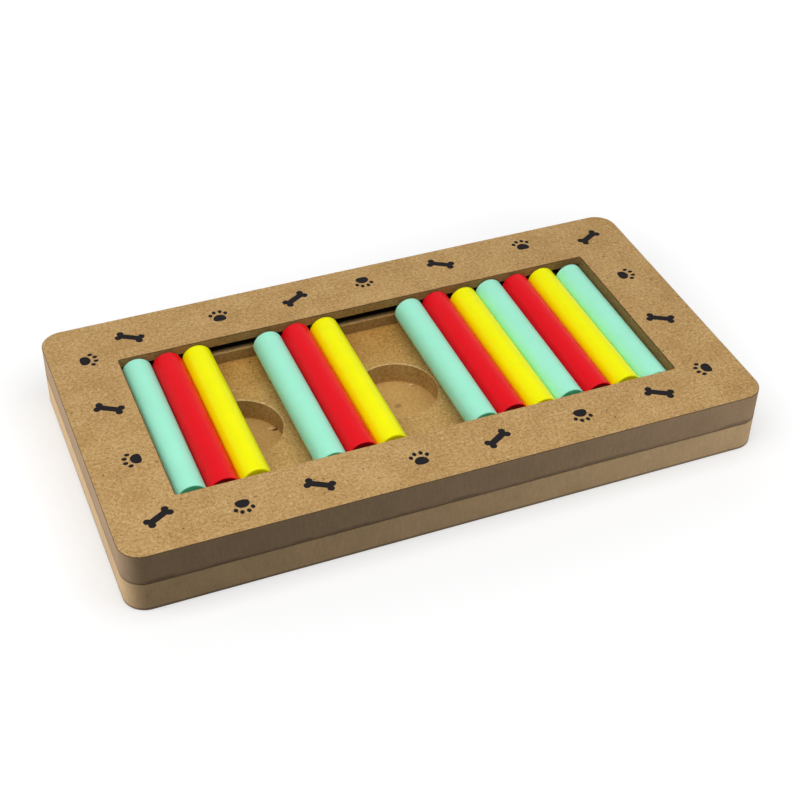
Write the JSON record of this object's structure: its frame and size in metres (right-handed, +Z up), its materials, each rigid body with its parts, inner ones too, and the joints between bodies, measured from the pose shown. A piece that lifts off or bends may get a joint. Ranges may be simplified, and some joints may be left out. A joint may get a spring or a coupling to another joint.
{
  "type": "dog puzzle feeder",
  "caption": "Rectangular fibreboard tray whose window holds a row of coloured rollers that slide along a groove and turn freely over round treat cups.",
  "frame": {"origin": "centre of the underside, on the surface that the toy stands on", "axes": "+X along the tray towards the group of seven rollers' end wall, +Y across the tray away from the user, +Z up"},
  "size_m": [0.291, 0.1536, 0.03],
  "materials": {
    "mdf_frame": "smooth medium-density fibreboard, routed and sanded, uncoated",
    "mdf_base": "smooth medium-density fibreboard, routed, uncoated",
    "roller_mint": "moulded plastic, satin, mint",
    "roller_red": "moulded plastic, satin, red",
    "roller_yellow": "moulded plastic, satin, yellow",
    "axle_steel": "bright drawn steel rod",
    "printed_ink": "matt charcoal printing ink"
  },
  "bodies": {
    "tray": {"top_frame": "mdf_frame", "base_board": "mdf_base"},
    "axle_01": {"axle_01": "axle_steel"},
    "axle_02": {"axle_02": "axle_steel"},
    "axle_03": {"axle_03": "axle_steel"},
    "axle_04": {"axle_04": "axle_steel"},
    "axle_05": {"axle_05": "axle_steel"},
    "axle_06": {"axle_06": "axle_steel"},
    "axle_07": {"axle_07": "axle_steel"},
    "axle_08": {"axle_08": "axle_steel"},
    "axle_09": {"axle_09": "axle_steel"},
    "axle_10": {"axle_10": "axle_steel"},
    "axle_11": {"axle_11": "axle_steel"},
    "axle_12": {"axle_12": "axle_steel"},
    "axle_13": {"axle_13": "axle_steel"},
    "roller_01": {"roller_01": "roller_mint"},
    "roller_02": {"roller_02": "roller_red"},
    "roller_03": {"roller_03": "roller_yellow"},
    "roller_04": {"roller_04": "roller_mint"},
    "roller_05": {"roller_05": "roller_red"},
    "roller_06": {"roller_06": "roller_yellow"},
    "roller_07": {"roller_07": "roller_mint"},
    "roller_08": {"roller_08": "roller_red"},
    "roller_09": {"roller_09": "roller_yellow"},
    "roller_10": {"roller_10": "roller_mint"},
    "roller_11": {"roller_11": "roller_red"},
    "roller_12": {"roller_12": "roller_yellow"},
    "roller_13": {"roller_13": "roller_mint"}
  },
  "joints": [
    {"name": "roller_01_slide", "type": "slide", "parent": "tray", "child": "axle_01", "axis": [1, 0, 0], "range_m": [-0.0004, 0.014]},
    {"name": "roller_02_slide", "type": "slide", "parent": "axle_01", "child": "axle_02", "axis": [1, 0, 0], "range_m": [0, 0.0054]},
    {"name": "roller_03_slide", "type": "slide", "parent": "axle_02", "child": "axle_03", "axis": [1, 0, 0], "range_m": [0, 0.0139]},
    {"name": "roller_04_slide", "type": "slide", "parent": "axle_05", "child": "axle_04", "axis": [1, 0, 0], "range_m": [-0.0098, 0]},
    {"name": "roller_05_slide", "type": "slide", "parent": "tray", "child": "axle_05", "axis": [1, 0, 0], "range_m": [-0.0099, 0.014]},
    {"name": "roller_06_slide", "type": "slide", "parent": "axle_05", "child": "axle_06", "axis": [1, 0, 0], "range_m": [0, 0.0139]},
    {"name": "roller_07_slide", "type": "slide", "parent": "axle_08", "child": "axle_07", "axis": [1, 0, 0], "range_m": [-0.014, 0]},
    {"name": "roller_08_slide", "type": "slide", "parent": "axle_09", "child": "axle_08", "axis": [1, 0, 0], "range_m": [-0.002, 0]},
    {"name": "roller_09_slide", "type": "slide", "parent": "axle_10", "child": "axle_09", "axis": [1, 0, 0], "range_m": [-0.002, 0]},
    {"name": "roller_10_slide", "type": "slide", "parent": "axle_11", "child": "axle_10", "axis": [1, 0, 0], "range_m": [-0.002, 0]},
    {"name": "roller_11_slide", "type": "slide", "parent": "axle_12", "child": "axle_11", "axis": [1, 0, 0], "range_m": [-0.002, 0]},
    {"name": "roller_12_slide", "type": "slide", "parent": "axle_13", "child": "axle_12", "axis": [1, 0, 0], "range_m": [-0.002, 0]},
    {"name": "roller_13_slide", "type": "slide", "parent": "tray", "child": "axle_13", "axis": [1, 0, 0], "range_m": [-0.014, 0.0004]},
    {"name": "roller_01_spin", "type": "hinge", "parent": "axle_01", "child": "roller_01", "pos_m": [-0.108, 0, 0.0225], "axis": [0, 1, 0], "continuous": true},
    {"name": "roller_02_spin", "type": "hinge", "parent": "axle_02", "child": "roller_02", "pos_m": [-0.094, 0, 0.0225], "axis": [0, 1, 0], "continuous": true},
    {"name": "roller_03_spin", "type": "hinge", "parent": "axle_03", "child": "roller_03", "pos_m": [-0.08, 0, 0.0225], "axis": [0, 1, 0], "continuous": true},
    {"name": "roller_04_spin", "type": "hinge", "parent": "axle_04", "child": "roller_04", "pos_m": [-0.0466, 0, 0.0225], "axis": [0, 1, 0], "continuous": true},
    {"name": "roller_05_spin", "type": "hinge", "parent": "axle_05", "child": "roller_05", "pos_m": [-0.0326, 0, 0.0225], "axis": [0, 1, 0], "continuous": true},
    {"name": "roller_06_spin", "type": "hinge", "parent": "axle_06", "child": "roller_06", "pos_m": [-0.0186, 0, 0.0225], "axis": [0, 1, 0], "continuous": true},
    {"name": "roller_07_spin", "type": "hinge", "parent": "axle_07", "child": "roller_07", "pos_m": [0.024, 0, 0.0225], "axis": [0, 1, 0], "continuous": true},
    {"name": "roller_08_spin", "type": "hinge", "parent": "axle_08", "child": "roller_08", "pos_m": [0.038, 0, 0.0225], "axis": [0, 1, 0], "continuous": true},
    {"name": "roller_09_spin", "type": "hinge", "parent": "axle_09", "child": "roller_09", "pos_m": [0.052, 0, 0.0225], "axis": [0, 1, 0], "continuous": true},
    {"name": "roller_10_spin", "type": "hinge", "parent": "axle_10", "child": "roller_10", "pos_m": [0.066, 0, 0.0225], "axis": [0, 1, 0], "continuous": true},
    {"name": "roller_11_spin", "type": "hinge", "parent": "axle_11", "child": "roller_11", "pos_m": [0.08, 0, 0.0225], "axis": [0, 1, 0], "continuous": true},
    {"name": "roller_12_spin", "type": "hinge", "parent": "axle_12", "child": "roller_12", "pos_m": [0.094, 0, 0.0225], "axis": [0, 1, 0], "continuous": true},
    {"name": "roller_13_spin", "type": "hinge", "parent": "axle_13", "child": "roller_13", "pos_m": [0.108, 0, 0.0225], "axis": [0, 1, 0], "continuous": true}
  ]
}
